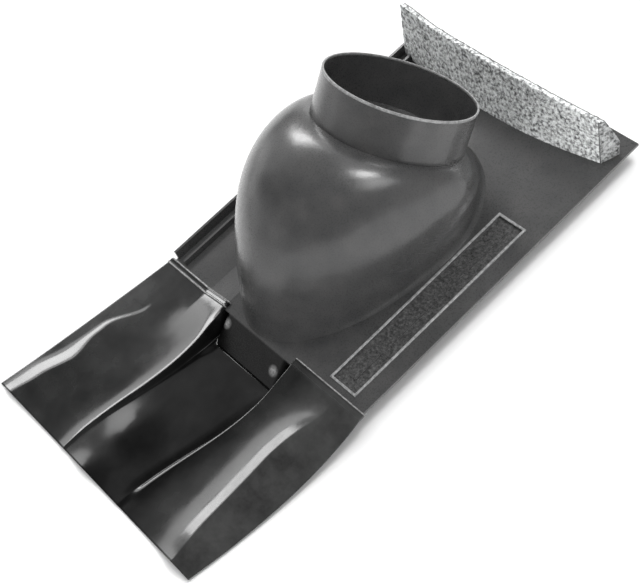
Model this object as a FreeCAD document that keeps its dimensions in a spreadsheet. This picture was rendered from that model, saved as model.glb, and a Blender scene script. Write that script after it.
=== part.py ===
"""Roof tile vent: a moulded tile whose dome carries a tilted pipe collar, with soft apron and foam strip.

The tile frame has X across the tile, Y up the roof slope with zero at the apron's hem, and Z square to the
tile. Every sub-part is then shifted by one placement, so that the whole part stands centred on its origin.
"""
import FreeCAD, Part
import Sketcher
import math
import os
import re

V = FreeCAD.Vector

SIZES = [
    # Tile deck and its left interlock
    ("tile_width", 330.0), ("tile_length", 430.0), ("front_margin", 10.0), ("tile_wall", 3.0),
    ("deck_height", 25.0), ("trough_height", 12.0), ("ramp_foot", 98.0), ("ramp_head", 57.0),
    ("rim_wall", 3.0), ("groove_width", 12.0), ("lock_rib_wall", 3.0), ("lock_rib_height", 8.0),
    ("hem_depth", 9.0), ("lap_rib_inset", 25.0), ("lap_rib_wall", 3.0),
    # Pipe collar
    ("collar_bore_radius", 83.0), ("collar_wall", 2.0), ("collar_length", 50.0), ("collar_tilt", 41.2),
    ("rim_reach", 262.6), ("rim_level", 167.2), ("collar_ledge", 1.0), ("collar_root", 5.0),
    # Dome between the deck and the collar
    ("dome_left", 111.0), ("dome_right", 95.0), ("dome_back", 119.0), ("dome_front", 198.0),
    ("dome_middle", 190.0), ("dome_wall", 3.0), ("lip_drop", 16.0),
    ("rise_side", 153.0), ("rise_back", 66.0), ("rise_front", 309.0),
    ("lean_left", 6.0), ("lean_right", 10.0), ("lean_back", -6.0), ("lean_front", -16.0),
    ("shoulder_side", 142.0), ("shoulder_back", 50.0), ("shoulder_front", 330.0),
    ("climb_side", 12.0), ("climb_back", 64.0), ("climb_front", 20.0),
    ("flare_left", 0.0), ("flare_right", 8.0), ("flare_back", 3.0), ("flare_front", 0.0),
    # Nose in front of the dome
    ("nose_width", 105.0), ("nose_offset", 3.0), ("nose_run", 31.0), ("nose_wall", 3.0), ("nose_round", 7.0),
    ("nose_root", 16.0),
    # Framed recess beside the dome
    ("recess_left", 108.0), ("recess_width", 34.0), ("recess_front", 10.0), ("recess_length", 252.0),
    ("recess_depth", 2.5), ("bead_width", 2.5), ("bead_height", 1.2), ("spine_width", 8.0),
    ("spine_height", 1.0), ("spine_gap", 12.0),
    # Underside braces and hanging nibs
    ("brace_wall", 2.5), ("brace_drop", 13.0), ("brace_first", 330.0), ("brace_pitch", 40.0),
    ("brace_count", 3.0), ("nib_width", 36.0), ("nib_depth", 14.0), ("nib_inset", 12.0),
    ("nib_spread", 150.0), ("nib_offset", 28.0), ("batten_front", 340.0),
    # Soft apron
    ("apron_reach", 239.0), ("sheet_gauge", 1.6), ("hem_gauge", 3.2), ("seat_gap", 0.3),
    ("apron_left_head", 167.0), ("apron_left_foot", 214.0), ("apron_right_head", 169.0),
    ("apron_right_foot", 148.0), ("fold_left_head", 54.0), ("fold_left_foot", 84.0),
    ("fold_right_head", 62.0), ("fold_right_foot", 22.0), ("fold_width", 5.0), ("fold_lip", 4.0),
    ("lip_width", 9.0),
    ("left_roll_inset", 17.0), ("left_roll_height", 7.0), ("left_roll_width", 11.0),
    ("right_roll_inset", 38.0), ("right_roll_height", 8.0), ("right_roll_width", 17.0),
    # Foam strip
    ("foam_height", 65.0), ("foam_length", 310.5), ("foam_middle", -5.25), ("foam_left_tilt", 0.32),
    ("foam_left_slant", 0.1), ("foam_right_tilt", 0.0), ("foam_right_slant", 0.4), ("foam_foot", 358.4),
    ("foam_head", 385.3), ("foam_foot_bow", 18.3), ("foam_head_bow", 3.5), ("foam_base", 20.0),
    ("foam_top", 6.5), ("foam_bevel", 2.0), ("foam_heel", 22.0), ("foam_belly", 21.5),
]

RIB_COUNT = 16
DOME_LEVELS = (0.0, 0.04, 0.12, 0.34, 0.56, 0.78, 1.0)
FLARE_CLIMB = 0.12
LOFT_DEGREE = 3
FOAM_STATIONS = (-1.0, -0.5, 0.0, 0.5, 1.0)
FLAP_POINTS = 12
APRON_STATIONS = (0.16, 0.34, 0.56, 0.78, 1.0)
ROLL_LASTS, ROLL_QUICK = 0.3, 1.1
LIP_GROWS, LIP_ENDS = 0.3, 0.8

doc = FreeCAD.newDocument("roof_tile_vent")


def make_sheet():
    """Spreadsheet that holds every driving size under its own alias."""
    sheet = doc.addObject("Spreadsheet::Sheet", "Sizes")
    for row, (alias, value) in enumerate(SIZES, start=1):
        sheet.set("A%d" % row, alias)
        sheet.set("B%d" % row, "%g" % value)
        sheet.setAlias("B%d" % row, alias)
    doc.recompute()
    return sheet


sheet = make_sheet()


def size(expression):
    """Value in mm or degrees of an expression written in the sheet's aliases."""
    return float(sheet.evalExpression(named(expression)))


def named(expression):
    """The expression with the sheet's name put before each alias."""
    return re.sub(r"[a-z_]+", lambda word: PREFIX.get(word.group(), word.group()), expression)


PREFIX = {alias: "Sizes." + alias for alias, value in SIZES}

# Derived places, written once as expressions in the sheet's aliases
HALF_TILE = "tile_width / 2"
TILE_REAR = "tile_length - front_margin"
DECK_UNDER = "deck_height - tile_wall"
TROUGH_UNDER = "trough_height - tile_wall"
LOCK_RIB_LEFT = "tile_width / 2 - rim_wall - groove_width"
LAP_RIB_RIGHT = "tile_width / 2 - lap_rib_inset"
NOSE_LEFT = "nose_offset - nose_width / 2"
NOSE_RIGHT = "nose_offset + nose_width / 2"
SHIFT_X = "( apron_left_foot - apron_right_head ) / 2"
SHIFT_Y = "( apron_reach - ( tile_length - front_margin ) ) / 2"


def place(item):
    """Shift a finished sub-part from the tile frame to the part's frame."""
    item.setExpression("Placement.Base.x", named(SHIFT_X))
    item.setExpression("Placement.Base.y", named(SHIFT_Y))
    return item


def attach(sketch, body, role, offset=None):
    """Lay a sketch on one of its own body's origin planes, lifted along the plane's normal."""
    plane = [item for item in body.Origin.OriginFeatures if item.Role == role][0]
    sketch.AttachmentSupport = [(plane, "")]
    sketch.MapMode = "FlatFace"
    if offset:
        sketch.setExpression("AttachmentOffset.Base.z", named(offset))


def polygon_sketch(body, name, role, points, offset=None):
    """Closed polygon whose every corner is bound to two expressions."""
    sketch = body.newObject("Sketcher::SketchObject", name)
    attach(sketch, body, role, offset)
    corners = [V(size(x), size(y), 0) for x, y in points]
    count = len(corners)
    for index in range(count):
        sketch.addGeometry(Part.LineSegment(corners[index], corners[(index + 1) % count]), False)
    for index in range(count):
        sketch.addConstraint(Sketcher.Constraint("Coincident", index, 2, (index + 1) % count, 1))
    for index, (x, y) in enumerate(points):
        corner = corners[index]
        for kind, value, text in (("DistanceX", corner.x, x), ("DistanceY", corner.y, y)):
            number = sketch.addConstraint(Sketcher.Constraint(kind, -1, 1, index, 1, value))
            sketch.renameConstraint(number, "%s_%d" % (kind, index))
            sketch.setExpression("Constraints.%s_%d" % (kind, index), named(text))
    return sketch


def rectangle(left, right, front, back):
    """Corners of a rectangle from its four sides."""
    return [(left, front), (right, front), (right, back), (left, back)]


def pad(body, name, sketch, length, reversed_side=False, symmetric=False):
    """Pad of a sketch by an expression."""
    feature = body.newObject("PartDesign::Pad", name)
    feature.Profile = sketch
    feature.setExpression("Length", named(length))
    feature.Reversed = reversed_side
    feature.Midplane = symmetric
    doc.recompute()
    return feature


def pocket(body, name, sketch, length, reversed_side=False, symmetric=False):
    """Pocket of a sketch by an expression."""
    feature = body.newObject("PartDesign::Pocket", name)
    feature.Profile = sketch
    feature.setExpression("Length", named(length))
    feature.Reversed = reversed_side
    feature.Midplane = symmetric
    before = body.Shape.Volume
    doc.recompute()
    if not body.Shape.Volume < before:
        raise RuntimeError(name + " cuts nothing")
    return feature


def deck_profile():
    """Cross-section of the tile: side rim, groove, lock rib, trough, ramp, flat deck and lap rib."""
    rim, level, under = "- " + HALF_TILE, "deck_height", DECK_UNDER
    rib_left, rib_right = "- ( %s )" % LOCK_RIB_LEFT, "- ( %s ) + lock_rib_wall" % LOCK_RIB_LEFT
    rib_top = "trough_height + lock_rib_height"
    return [
        (rim, "0"), (rim, level), (rim + " + rim_wall", level), (rim + " + rim_wall", "trough_height"),
        (rib_left, "trough_height"), (rib_left, rib_top),
        (rib_right, rib_top), (rib_right, "trough_height"),
        ("- ramp_foot", "trough_height"), ("- ramp_head", level), (HALF_TILE, level), (HALF_TILE, under),
        (LAP_RIB_RIGHT, under), (LAP_RIB_RIGHT, "0"), (LAP_RIB_RIGHT + " - lap_rib_wall", "0"),
        (LAP_RIB_RIGHT + " - lap_rib_wall", under), ("- ramp_head", under), ("- ramp_foot", TROUGH_UNDER),
        (rim + " + rim_wall", TROUGH_UNDER), (rim + " + rim_wall", "0"),
    ]


def add_deck(body):
    """Deck extruded up the slope, with the rim and lock rib stopped short behind the apron's hem."""
    profile = polygon_sketch(body, "deck_section", "XZ_Plane", deck_profile(), "front_margin")
    pad(body, "deck", profile, "tile_length", reversed_side=True)
    notch = polygon_sketch(body, "hem_notch_outline", "XY_Plane", rectangle(
        "- tile_width / 2 - rim_wall", "- ( %s ) + lock_rib_wall + rim_wall" % LOCK_RIB_LEFT,
        "- front_margin - rim_wall", "rim_wall"), "deck_height + rim_wall")
    pocket(body, "hem_notch", notch, "deck_height + rim_wall - trough_height")


def nose_profile(inset, low):
    """Side view of the sloping nose, pushed in by its wall where inset is set."""
    slide = "nose_wall * sqrt(nose_run ^ 2 + deck_height ^ 2) / deck_height" if inset else "0"
    drop = "tile_wall" if inset else "0"
    foot = "- front_margin - nose_run + %s + ( %s ) * nose_run / deck_height" % (slide, low)
    head = "- front_margin + %s - %s * nose_run / deck_height" % (slide, drop)
    back = "nose_root - front_margin" + (" + nose_wall" if inset else "")
    return [(foot, low), (head, "deck_height - " + drop), (back, "deck_height - " + drop), (back, low)]


def make_nose():
    """Nose that slopes from the front of the deck to the channel of the apron, and the hollow inside it."""
    nose = doc.addObject("PartDesign::Body", "nose_body")
    outline = polygon_sketch(nose, "nose_outline", "YZ_Plane", nose_profile(False, "0"), "nose_offset")
    pad(nose, "nose", outline, "nose_width", symmetric=True)
    round_nose_corners(nose)
    hollow = doc.addObject("PartDesign::Body", "nose_hollow_body")
    outline = polygon_sketch(hollow, "nose_hollow_outline", "YZ_Plane", nose_profile(True, "0 - nose_wall"),
                             "nose_offset")
    pad(hollow, "nose_hollow", outline, "nose_width - 2 * nose_wall", symmetric=True)
    return nose, hollow


def is_sloping(edge):
    """Whether an edge runs both up and along the slope."""
    first, last = edge.Vertexes[0].Point, edge.Vertexes[-1].Point
    return min(abs(first.y - last.y), abs(first.z - last.z)) > size("nose_wall")


def round_nose_corners(body):
    """Fillet along the two sloping side edges of the nose."""
    names = ["Edge%d" % number for number, edge in enumerate(body.Shape.Edges, start=1) if is_sloping(edge)]
    if len(names) != 2:
        raise RuntimeError("the nose needs two sloping edges, found %d" % len(names))
    block = body.Tip
    fillet = body.newObject("PartDesign::Fillet", "nose_rounds")
    fillet.Base = (block, names)
    fillet.setExpression("Radius", named("nose_round"))
    doc.recompute()


def add_recess(body):
    """Long framed recess with a raised bead around it and a low spine along its floor."""
    right, back = "recess_left + recess_width", "recess_front + recess_length"
    frame = polygon_sketch(body, "recess_frame_outline", "XY_Plane", rectangle(
        "recess_left - bead_width", right + " + bead_width", "recess_front - bead_width",
        back + " + bead_width"), "deck_height - tile_wall - recess_depth")
    pad(body, "recess_frame", frame, "tile_wall + recess_depth + bead_height")
    floor = polygon_sketch(body, "recess_outline", "XY_Plane", rectangle(
        "recess_left", right, "recess_front", back), "deck_height + bead_height")
    pocket(body, "recess", floor, "bead_height + recess_depth")
    middle = "recess_left + recess_width / 2"
    spine = polygon_sketch(body, "spine_outline", "XY_Plane", rectangle(
        middle + " - spine_width / 2", middle + " + spine_width / 2", "recess_front + spine_gap",
        back + " - spine_gap"), "deck_height - recess_depth - tile_wall / 2")
    pad(body, "recess_spine", spine, "tile_wall / 2 + spine_height")


def add_braces(body):
    """Cross braces under the deck behind the dome, in an even row up the slope."""
    outline = polygon_sketch(body, "brace_outline", "XY_Plane", rectangle(
        "- ramp_head", LAP_RIB_RIGHT + " - lap_rib_wall / 2", "brace_first", "brace_first + brace_wall"),
        DECK_UNDER + " - brace_drop")
    brace = pad(body, "brace", outline, "brace_drop + tile_wall / 2")
    row = body.newObject("PartDesign::LinearPattern", "brace_row")
    row.Originals = [brace]
    row.Direction = (outline, ["V_Axis"])
    row.setExpression("Length", named("brace_pitch * ( brace_count - 1 )"))
    row.setExpression("Occurrences", named("brace_count"))
    body.Tip = row
    doc.recompute()


def add_nibs(body):
    """Two hanging nibs that hook over the roof batten and carry the rear of the tile."""
    back = TILE_REAR + " - nib_inset"
    for name, side in (("left_nib", "-"), ("right_nib", "+")):
        middle = "nib_offset %s nib_spread / 2" % side
        outline = polygon_sketch(body, name + "_outline", "XY_Plane", rectangle(
            middle + " - nib_width / 2", middle + " + nib_width / 2", back + " - nib_depth", back),
            "0")
        pad(body, name, outline, DECK_UNDER + " + tile_wall / 2")


def add_batten_notch(body):
    """Rear ends of the side rim and the lap rib, cut away up to the trough for the batten to pass."""
    clear = "rim_wall"
    rim, rib = "- " + HALF_TILE, LAP_RIB_RIGHT
    strips = (("left_batten_notch", rim + " - " + clear, rim + " + rim_wall + %s / 2" % clear),
              ("right_batten_notch", rib + " - lap_rib_wall - " + clear, rib + " + " + clear))
    for name, left, right in strips:
        outline = polygon_sketch(body, name + "_outline", "XY_Plane", rectangle(
            left, right, "batten_front", TILE_REAR + " + " + clear), TROUGH_UNDER)
        pocket(body, name, outline, "trough_height")


def collar_axis():
    """Direction of the pipe, upright once the tile lies on its roof."""
    tilt = math.radians(size("collar_tilt"))
    return V(0, math.sin(tilt), math.cos(tilt))


def rim_centre():
    """Middle of the collar's open end."""
    return V(0, size("rim_reach"), size("rim_level"))


def blend(angle, side, back, front):
    """Value that turns smoothly from the side of the dome to its back or its front."""
    turn = math.sin(angle)
    return side * (1 - turn ** 2) + (back if turn >= 0 else front) * turn ** 2


def footprint(angle, inset):
    """Point and outward direction of the dome's foot, four quarter ellipses around its middle."""
    across = size("dome_right") if math.cos(angle) >= 0 else size("dome_left")
    along = size("dome_back") if math.sin(angle) >= 0 else size("dome_front")
    outward = V(math.cos(angle) / across, math.sin(angle) / along, 0)
    outward.normalize()
    point = V(across * math.cos(angle), size("dome_middle") + along * math.sin(angle), size("deck_height"))
    return point - outward * inset, outward


def collar_foot(angle, inset, radius):
    """Point of the ring where the dome meets the collar, and the radial direction there."""
    axis = collar_axis()
    down = V(0, axis.z, -axis.y)
    radial = V(1, 0, 0) * math.cos(angle) + down * math.sin(angle)
    centre = rim_centre() - axis * (size("collar_length") + inset)
    return centre + radial * radius, radial


def sided(angle, quantity):
    """Value of a quantity that has its own size on the left, right, back and front of the dome."""
    side = size(quantity + "_right") if math.cos(angle) >= 0 else size(quantity + "_left")
    return blend(angle, side, size(quantity + "_back"), size(quantity + "_front"))


def dome_point(angle, climb, inset, radius):
    """Point of the dome, along a rib that leaves the foot steeply and runs in under the collar."""
    foot, outward = footprint(angle, inset)
    ring, radial = collar_foot(angle, inset, radius)
    lean = math.radians(sided(angle, "lean"))
    flare = outward * sided(angle, "flare") * max(1 - climb / FLARE_CLIMB, 0.0) ** 3
    rise = blend(angle, size("rise_side"), size("rise_back"), size("rise_front"))
    slope = math.radians(blend(angle, size("climb_side"), size("climb_back"), size("climb_front")))
    reach = blend(angle, size("shoulder_side"), size("shoulder_back"), size("shoulder_front"))
    start = (V(0, 0, 1) * math.cos(lean) + outward * math.sin(lean)) * rise
    finish = (collar_axis() * math.sin(slope) - radial * math.cos(slope)) * reach
    square, cube = climb ** 2, climb ** 3
    return (foot * (2 * cube - 3 * square + 1) + start * (cube - 2 * square + climb)
            + ring * (3 * square - 2 * cube) + finish * (cube - square) + flare)


def closed_curve(points):
    """Smooth closed wire through points."""
    curve = Part.BSplineCurve()
    curve.interpolate(Points=points, PeriodicFlag=True)
    return Part.Wire([curve.toShape()])


def dome_shape(inset, radius, bottom):
    """Solid of the dome pushed in by inset, with an upright skirt from the deck down to bottom."""
    angles = [2 * math.pi * index / RIB_COUNT for index in range(RIB_COUNT)]
    wires = []
    for climb in DOME_LEVELS:
        wires.append(closed_curve([dome_point(angle, climb, inset, radius) for angle in angles]))
    bulb = Part.makeLoft(wires, True, False, False, LOFT_DEGREE)
    base = Part.Face(wires[0])
    skirt = base.extrude(V(0, 0, bottom - size("deck_height")))
    return bulb.fuse(skirt)


def code_feature(name, shape):
    """Object for a form that only its own function can give."""
    feature = doc.addObject("Part::Feature", name)
    feature.Shape = shape
    return feature


def cylinder(name, radius, start, length):
    """Cylinder along the collar's axis from a distance below the rim, bound to the sheet."""
    item = doc.addObject("Part::Cylinder", name)
    item.setExpression("Radius", named(radius))
    item.setExpression("Height", named(length))
    item.Placement = FreeCAD.Placement(rim_centre() - collar_axis() * size(start),
                                       FreeCAD.Rotation(V(0, 0, 1), collar_axis()))
    return item


def make_tile_shell():
    """One moulded piece: deck, nose, recess, braces, nibs, dome and collar, hollow from below."""
    body = doc.addObject("PartDesign::Body", "deck_body")
    add_deck(body)
    add_recess(body)
    add_braces(body)
    add_batten_notch(body)
    add_nibs(body)
    nose, nose_hollow = make_nose()
    outer_radius = size("collar_bore_radius + collar_wall")
    outside = code_feature("dome_outside", dome_shape(
        0, outer_radius + size("collar_ledge"), size("deck_height - lip_drop")))
    inside = code_feature("dome_inside", dome_shape(
        size("dome_wall"), size("collar_bore_radius - collar_ledge / 2"), -size("tile_wall")))
    collar = cylinder("collar_outside", "collar_bore_radius + collar_wall", "collar_length + collar_root",
                      "collar_length + collar_root")
    bore = cylinder("collar_bore", "collar_bore_radius", "collar_length + 2 * collar_root",
                    "collar_length + 3 * collar_root")
    bulb = boolean("Part::Fuse", "bulb", outside, collar)
    front = boolean("Part::Fuse", "bulb_and_nose", bulb, nose)
    skin = boolean("Part::Fuse", "skin", front, body)
    open_dome = boolean("Part::Cut", "open_dome", skin, inside)
    open_collar = boolean("Part::Cut", "open_collar", open_dome, bore)
    shell = boolean("Part::Cut", "tile_shell", open_collar, nose_hollow)
    shell.Label = "tile_shell"
    return place(shell)


def boolean(kind, name, base, tool):
    """Fuse or cut of two objects."""
    item = doc.addObject(kind, name)
    item.Base, item.Tool, item.Refine = base, tool, False
    return item


def ease(value, start=0.0):
    """Smooth step from nought to one."""
    value = min(max((value - start) / (1 - start), 0.0), 1.0)
    return value * value * (3 - 2 * value)


def bump(distance, width):
    """Rounded swell of unit height."""
    return math.exp(-(distance / width) ** 2)


def tile_top(x):
    """Level of the tile's top under the hem."""
    foot, head = -size("ramp_foot"), -size("ramp_head")
    share = min(max((x - foot) / (head - foot), 0.0), 1.0)
    return size("trough_height") + share * size("deck_height - trough_height")


def apron_sides(run):
    """Left edge, left fold, right fold and right edge of the apron at a share of its reach."""
    def mix(head, foot, share):
        return size(head) + (size(foot) - size(head)) * share
    wander = ease(run, 0.2)
    left = -mix("apron_left_head", "apron_left_foot", run)
    right = mix("apron_right_head", "apron_right_foot", run ** 2)
    fold_left = -mix("fold_left_head", "fold_left_foot", wander)
    fold_right = mix("fold_right_head", "fold_right_foot", wander)
    return left, fold_left, fold_right, right


def flap_level(x, run):
    """Level of the sheet beside the channel, from the tile's top down to the floor, with two rolls."""
    left, fold_left, fold_right, right = apron_sides(run)
    reach, margin = size("apron_reach"), size("front_margin")
    fall = max(run * reach - margin, 0.0) / (reach - margin)
    swell = ROLL_LASTS * ease(fall) + (1 - ROLL_LASTS) * math.sin(math.pi * min(ROLL_QUICK * fall, 1.0))
    crease = ease(fall / LIP_GROWS) * (1 - ease(run, LIP_ENDS)) * size("fold_lip")
    lips = bump(x - fold_left, size("lip_width")) + bump(x - fold_right, size("lip_width"))
    left_roll = size("left_roll_height") * bump(x - left - size("left_roll_inset"), size("left_roll_width"))
    right_roll = size("right_roll_height") * bump(right - x - size("right_roll_inset"),
                                                  size("right_roll_width"))
    rest = (tile_top(x) + size("seat_gap")) * (1 - fall)
    return rest + swell * (left_roll + right_roll) + crease * lips


def flap_curve(outer, fold, run, lift, shift):
    """Curve across one flap from its outer edge to its fold."""
    points, y = [], -run * size("apron_reach")
    for index in range(FLAP_POINTS + 1):
        x = outer + (fold - outer) * index / FLAP_POINTS
        points.append(V(x + shift * index / FLAP_POINTS, y, flap_level(x, run) + lift))
    curve = Part.BSplineCurve()
    curve.interpolate(Points=points)
    return curve.toShape(), points[0], points[-1]


def sheet_side(run, lift):
    """Edges of one face of the sheet from the left edge to the right, with its two ends."""
    left, fold_left, fold_right, right = apron_sides(run)
    width, y = size("fold_width"), -run * size("apron_reach")
    left_flap, left_end, left_crest = flap_curve(left, fold_left, run, lift, lift)
    right_flap, right_end, right_crest = flap_curve(right, fold_right, run, lift, -lift)
    left_foot, right_foot = V(fold_left + width + lift, y, lift), V(fold_right - width - lift, y, lift)
    folds = [Part.makeLine(left_crest, left_foot), Part.makeLine(left_foot, right_foot),
             Part.makeLine(right_foot, right_crest)]
    return [left_flap] + folds + [right_flap], left_end, right_end


def sheet_section(run, gauge):
    """Closed section of the apron's sheet, its underside and its top joined at both edges."""
    low, low_left, low_right = sheet_side(run, 0.0)
    high, high_left, high_right = sheet_side(run, gauge)
    edges = low + [Part.makeLine(low_right, high_right)] + high[::-1] + [Part.makeLine(high_left, low_left)]
    return Part.Wire(edges)


def nose_clearance():
    """Space that the apron leaves for the nose and for the front of the dome above it."""
    gap, margin, run = size("seat_gap"), size("front_margin"), size("nose_run")
    deck, back, above = size("deck_height"), size("nose_root"), size("rim_level / 2")
    side = [V(0, -margin - run - gap, -back), V(0, -margin - run - gap, 0), V(0, -margin - gap, deck),
            V(0, -margin - gap, above), V(0, back, above), V(0, back, -back)]
    outline = Part.Face(Part.makePolygon(side + side[:1]))
    outline.translate(V(size(NOSE_LEFT) - gap, 0, 0))
    block = outline.extrude(V(size("nose_width") + 2 * gap, 0, 0))
    sloping = [edge for edge in block.Edges if is_sloping(edge)]
    return block.makeFillet(size("nose_round"), sloping)


def make_apron():
    """Soft sheet dressed over the tile's front edge, with a thick hem and a channel between two folds."""
    hem_end = size("hem_depth / apron_reach")
    sheet_sections = [sheet_section(run, size("sheet_gauge")) for run in (hem_end,) + APRON_STATIONS]
    sheet_form = Part.makeLoft(sheet_sections, True, False)
    hem_sections = [sheet_section(run, size("hem_gauge")) for run in (0.0, hem_end)]
    hem_form = Part.makeLoft(hem_sections, True, True)
    cloth = code_feature("apron_sheet", sheet_form)
    hem = code_feature("apron_hem", hem_form)
    blank = boolean("Part::Fuse", "apron_blank", cloth, hem)
    opening = code_feature("nose_clearance", nose_clearance())
    open_blank = boolean("Part::Cut", "apron_opening", blank, opening)
    rest = doc.addObject("PartDesign::Body", "hem_rest")
    outline = polygon_sketch(rest, "hem_rest_section", "XZ_Plane", hem_rest_profile(),
                             "front_margin + seat_gap")
    pad(rest, "hem_rest_pad", outline, "front_margin + 2 * seat_gap", reversed_side=True)
    apron = boolean("Part::Cut", "flashing_apron", open_blank, rest)
    apron.Label = "flashing_apron"
    return place(apron)


def hem_rest_profile():
    """Top of the tile's front margin under the hem, lifted by the seat gap and closed below."""
    left, right = "- " + HALF_TILE + " - seat_gap", HALF_TILE + " + seat_gap"
    level, deck = "trough_height + seat_gap", "deck_height + seat_gap"
    return [(left, "0"), (left, level), ("- ramp_foot", level), ("- ramp_head", deck), (right, deck),
            (right, "0")]


def foam_profile(share):
    """Section of the foam at a share of its half-length: leaning front, narrow top and bevelled back."""
    bow, floor, top = "* %g" % (share ** 2), TROUGH_UNDER, "deck_height + foam_height"
    foot, head = "foam_foot + foam_foot_bow " + bow, "foam_head + foam_head_bow " + bow
    rise = "foam_heel / foam_height"
    heel = "( %s ) * ( 1 - %s ) + ( %s ) * %s + foam_belly - foam_top * %s" % (foot, rise, head, rise, rise)
    base = foot + " + foam_base"
    return [(foot, floor), (foot, "deck_height"), (head + " - foam_top", top), (head, top + " - foam_bevel"),
            (heel, "deck_height + foam_heel"), (base, "deck_height"), (base, floor)]


def seat_profile():
    """Top of the tile as the foam meets it, lifted by the seat gap and closed below."""
    rib_left = "- ( %s ) - seat_gap" % LOCK_RIB_LEFT
    rib_right = "- ( %s ) + lock_rib_wall + seat_gap" % LOCK_RIB_LEFT
    level, deck = "trough_height + seat_gap", "deck_height + seat_gap"
    rib_top = level + " + lock_rib_height"
    edge = "- " + HALF_TILE + " - foam_base"
    rim = "- " + HALF_TILE + " + rim_wall + seat_gap"
    return [
        (edge, "0"), (edge, deck), (rim, deck), (rim, level), (rib_left, level), (rib_left, rib_top),
        (rib_right, rib_top), (rib_right, level), ("- ramp_foot", level), ("- ramp_head", deck),
        (HALF_TILE, deck), (HALF_TILE, "0"),
    ]


def end_cutter(end, side):
    """Block that takes off one end of the foam along a plane tilted up it and slanted across it."""
    span = "foam_height * 2"
    cutter = doc.addObject("Part::Box", "foam_%s_cutter" % end)
    for direction in ("Length", "Width", "Height"):
        cutter.setExpression(direction, named(span))
    outward = V(1, -size("foam_%s_slant" % end), -size("foam_%s_tilt" % end)) * side
    turn = FreeCAD.Rotation(V(1, 0, 0), outward)
    edge = V(size("foam_middle + %d * foam_length / 2" % side), size("foam_foot + foam_foot_bow"),
             size("deck_height"))
    cutter.Placement = FreeCAD.Placement(edge - turn.multVec(V(0, size(span) / 2, size(span) / 2)), turn)
    return cutter


def make_foam_strip():
    """Foam seal behind the dome: bowed at its foot, nearly straight at its head, fitted to the tile."""
    body = doc.addObject("PartDesign::Body", "foam_blank")
    sections = []
    for number, share in enumerate(FOAM_STATIONS):
        sections.append(polygon_sketch(body, "foam_section_%d" % number, "YZ_Plane", foam_profile(share),
                                       "foam_middle + ( foam_length / 2 + foam_base ) * %g" % share))
    strip = body.newObject("PartDesign::AdditiveLoft", "foam_bow")
    strip.Profile = sections[0]
    strip.Sections = sections[1:]
    doc.recompute()
    seat = doc.addObject("PartDesign::Body", "foam_seat")
    outline = polygon_sketch(seat, "seat_section", "XZ_Plane", seat_profile(), "front_margin")
    pad(seat, "seat", outline, "tile_length", reversed_side=True)
    seated = boolean("Part::Cut", "seated_foam", body, seat)
    left_cut = boolean("Part::Cut", "foam_left_cut", seated, end_cutter("left", -1))
    foam = boolean("Part::Cut", "foam_seal_strip", left_cut, end_cutter("right", 1))
    foam.Label = "foam_seal_strip"
    return place(foam)


def check_document():
    """Stop on any object that failed to build."""
    for item in doc.Objects:
        for fault in ("Invalid", "Error"):
            if fault in item.State:
                raise RuntimeError("%s is %s" % (item.Name, fault))


def write_part(item):
    """Write one sub-part under its own label, once it is whole and valid."""
    shape = item.Shape
    if shape.isNull() or not shape.isValid():
        raise RuntimeError(item.Label + " has no valid shape")
    box = shape.BoundBox
    print("%s: %d solid, %.0f mm3, %.1f x %.1f x %.1f mm" % (
        item.Label, len(shape.Solids), shape.Volume, box.XLength, box.YLength, box.ZLength))
    shape.exportStep("parts/%s.step" % item.Label)


parts = [make_tile_shell(), make_apron(), make_foam_strip()]
doc.recompute()
check_document()
os.makedirs("parts", exist_ok=True)
for part in parts:
    write_part(part)
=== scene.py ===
"""Looks of a roof tile vent: grained black moulding, a glossy soft apron with creases, and a foam strip.

All lengths are in metres in the part's frame: X across the tile, Y up the roof slope, Z square to the tile.
The apron and the foam are worked out in the tile's own frame, in millimetres, and shifted by SHIFT.
"""
import math
import bmesh
import bpy
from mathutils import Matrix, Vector, noise


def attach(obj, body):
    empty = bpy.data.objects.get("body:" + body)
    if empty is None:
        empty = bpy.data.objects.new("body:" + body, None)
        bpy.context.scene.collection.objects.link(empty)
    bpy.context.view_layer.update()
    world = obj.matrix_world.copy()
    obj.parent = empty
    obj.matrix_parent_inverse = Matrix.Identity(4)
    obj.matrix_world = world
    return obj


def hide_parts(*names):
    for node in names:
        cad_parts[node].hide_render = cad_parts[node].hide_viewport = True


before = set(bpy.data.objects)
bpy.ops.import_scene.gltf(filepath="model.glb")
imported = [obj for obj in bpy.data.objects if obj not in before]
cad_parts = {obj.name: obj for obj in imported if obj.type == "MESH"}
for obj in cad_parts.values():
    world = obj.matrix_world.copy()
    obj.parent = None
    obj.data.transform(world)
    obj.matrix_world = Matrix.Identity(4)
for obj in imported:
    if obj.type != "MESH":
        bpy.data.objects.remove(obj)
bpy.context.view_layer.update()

MM = 0.001
SHIFT = Vector((22.5, -90.5, 0.0))

# Tile sizes that the soft pieces follow, in millimetres: levels of the deck and the trough, the ramp between
# them, the lock rib, the nose with its rounded front corners and two painted highlight spots, and the room
# beside each
FRONT_MARGIN = 10.0
DECK, TROUGH = 25.0, 12.0
RAMP_FOOT, RAMP_HEAD = -98.0, -57.0
LOCK_RIB = (-150.0, -147.0)
LOCK_RIB_TOP = 20.0
NOSE = (-49.5, 55.5)
NOSE_RUN = 31.0
NOSE_ROUND, NOSE_ROUND_LONG = 7.0, 11.1
NOSE_HIGHLIGHTS = [(-42.8, -18.7, 17.9), (42.4, -25.0, 12.9)]
HIGHLIGHT_RADIUS = 7.5
SEAT_GAP = 0.3

# Recess from left to right and front to rear, its bead's width, and the collar's open end
RECESS = (108.0, 142.0, 10.0, 262.0)
BEAD = 2.5
COLLAR_RADIUS, COLLAR_WALL, COLLAR_TILT = 83.0, 2.0, 41.2
RIM_CENTRE = (0.0, 262.6, 167.2)
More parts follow.
